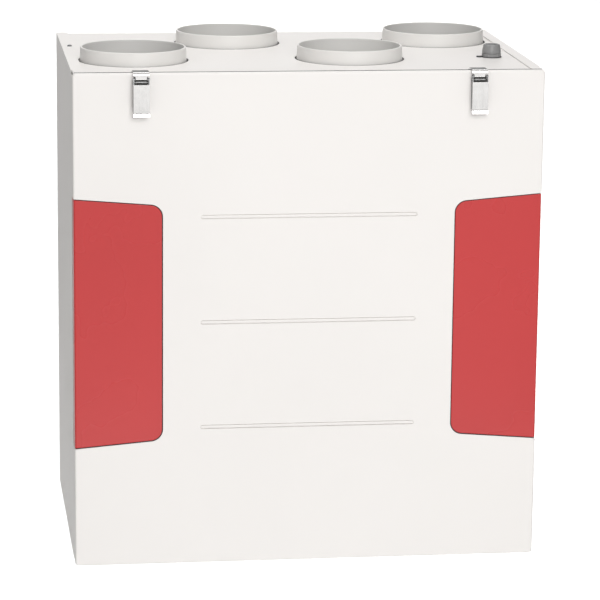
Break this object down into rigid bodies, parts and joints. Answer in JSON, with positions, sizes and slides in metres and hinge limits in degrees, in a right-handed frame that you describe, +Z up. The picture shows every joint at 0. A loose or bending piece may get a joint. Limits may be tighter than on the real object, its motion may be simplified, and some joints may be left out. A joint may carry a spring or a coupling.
{
  "type": "heat recovery unit",
  "caption": "Wall-hung heat recovery unit: white sheet casing with round duct spigots on top, latched front cover with red accents, counterflow exchanger, fans and filters.",
  "frame": {"origin": "on the wall, in the middle of the wall rail's rear face", "axes": "+Y into the wall, +Z up, +X to the right as one looks at the front"},
  "size_m": [0.68, 0.4927, 0.773],
  "materials": {
    "powder_coat": "white powder coat, fine satin texture",
    "accent_red": "red, satin gloss",
    "bright_steel": "bright polished steel",
    "zinc_steel": "galvanised, dull",
    "spigot_plastic": "off-white moulded plastic, satin",
    "grey_plastic": "mid grey moulded plastic",
    "black_rubber": "black rubber, matt",
    "lining_foam": "expanded bead foam, charcoal",
    "core_plastic": "thin stacked plastic plates, pale blue-grey",
    "filter_media": "pleated filter fleece in a card frame",
    "fan_plastic": "black moulded plastic",
    "circuit_board": "green lacquered board",
    "tray_plastic": "dark moulded plastic",
    "webbing": "black woven webbing"
  },
  "bodies": {
    "casing": {"back_panel": "zinc_steel", "left_side_panel": "powder_coat", "right_side_panel": "powder_coat", "bottom_panel": "powder_coat", "top_plate": "powder_coat", "wall_rail": "zinc_steel", "hanging_bracket": "zinc_steel", "spacer_left": "black_rubber", "spacer_right": "black_rubber", "spigot_front_left": "spigot_plastic", "spigot_back_left": "spigot_plastic", "spigot_front_right": "spigot_plastic", "spigot_back_right": "spigot_plastic", "spigot_seal_front_left": "black_rubber", "spigot_seal_back_left": "black_rubber", "spigot_seal_front_right": "black_rubber", "spigot_seal_back_right": "black_rubber", "cable_gland_body": "grey_plastic", "cable_gland_cap": "grey_plastic", "foam_back": "lining_foam", "foam_left": "lining_foam", "foam_right": "lining_foam", "foam_top": "lining_foam", "foam_bottom": "lining_foam", "duct_wall_left": "lining_foam", "duct_wall_right": "lining_foam", "lower_web": "lining_foam", "bypass_wall": "lining_foam", "inlet_ring_left": "fan_plastic", "inlet_ring_right": "fan_plastic", "fan_motor_left": "zinc_steel", "fan_motor_right": "zinc_steel", "condensate_tray": "tray_plastic", "drain_spigot": "grey_plastic", "bypass_actuator": "grey_plastic", "control_box": "grey_plastic", "control_board": "circuit_board", "control_cover": "grey_plastic", "catch_left": "zinc_steel", "catch_right": "zinc_steel"},
    "cover": {"front_cover": "powder_coat", "accent_left": "accent_red", "accent_right": "accent_red", "cover_insulation": "lining_foam", "cover_seal": "black_rubber", "latch_base_left": "bright_steel", "latch_base_right": "bright_steel"},
    "lever_left": {"latch_lever_left": "bright_steel", "claw_pin_left": "bright_steel"},
    "lever_right": {"latch_lever_right": "bright_steel", "claw_pin_right": "bright_steel"},
    "claw_left": {"latch_claw_left": "bright_steel"},
    "claw_right": {"latch_claw_right": "bright_steel"},
    "exchanger": {"heat_exchanger": "core_plastic", "exchanger_strap": "webbing"},
    "outdoor_filter": {"outdoor_filter": "filter_media"},
    "extract_filter": {"extract_filter": "filter_media"},
    "impeller_left": {"impeller_left": "fan_plastic"},
    "impeller_right": {"impeller_right": "fan_plastic"},
    "bypass_flap": {"bypass_flap": "grey_plastic"}
  },
  "joints": [
    {"name": "cover_slide", "type": "slide", "parent": "casing", "child": "cover", "axis": [0, -1, 0], "range_m": [0, 0.6]},
    {"name": "exchanger_slide", "type": "slide", "parent": "casing", "child": "exchanger", "axis": [0, -1, 0], "range_m": [0, 0.37]},
    {"name": "outdoor_filter_slide", "type": "slide", "parent": "casing", "child": "outdoor_filter", "axis": [0, -1, 0], "range_m": [0, 0.28]},
    {"name": "extract_filter_slide", "type": "slide", "parent": "casing", "child": "extract_filter", "axis": [0, -1, 0], "range_m": [0, 0.28]},
    {"name": "latch_left_hinge", "type": "hinge", "parent": "cover", "child": "lever_left", "pos_m": [-0.243, -0.485, 0.1173], "axis": [-1, 0, 0], "range_deg": [0, 90]},
    {"name": "claw_left_hinge", "type": "hinge", "parent": "lever_left", "child": "claw_left", "pos_m": [-0.243, -0.4825, 0.1125], "axis": [-1, 0, 0], "range_deg": [-95, 0]},
    {"name": "latch_right_hinge", "type": "hinge", "parent": "cover", "child": "lever_right", "pos_m": [0.243, -0.485, 0.1173], "axis": [-1, 0, 0], "range_deg": [0, 90]},
    {"name": "claw_right_hinge", "type": "hinge", "parent": "lever_right", "child": "claw_right", "pos_m": [0.243, -0.4825, 0.1125], "axis": [-1, 0, 0], "range_deg": [-95, 0]},
    {"name": "fan_left_spin", "type": "hinge", "parent": "casing", "child": "impeller_left", "pos_m": [-0.216, -0.25, -0.445], "axis": [1, 0, 0], "continuous": true},
    {"name": "fan_right_spin", "type": "hinge", "parent": "casing", "child": "impeller_right", "pos_m": [0.208, -0.25, -0.445], "axis": [1, 0, 0], "continuous": true},
    {"name": "bypass_flap_hinge", "type": "hinge", "parent": "casing", "child": "bypass_flap", "pos_m": [-0.0875, -0.0762, -0.02], "axis": [1, 0, 0], "range_deg": [0, 45]}
  ],
  "couplings": [
    {"joint": "exchanger_slide", "follows": "cover_slide", "ratio": 0.6},
    {"joint": "outdoor_filter_slide", "follows": "cover_slide", "ratio": 0.45},
    {"joint": "extract_filter_slide", "follows": "cover_slide", "ratio": 0.45},
    {"joint": "claw_left_hinge", "follows": "latch_left_hinge", "ratio": -1},
    {"joint": "claw_right_hinge", "follows": "latch_right_hinge", "ratio": -1}
  ]
}
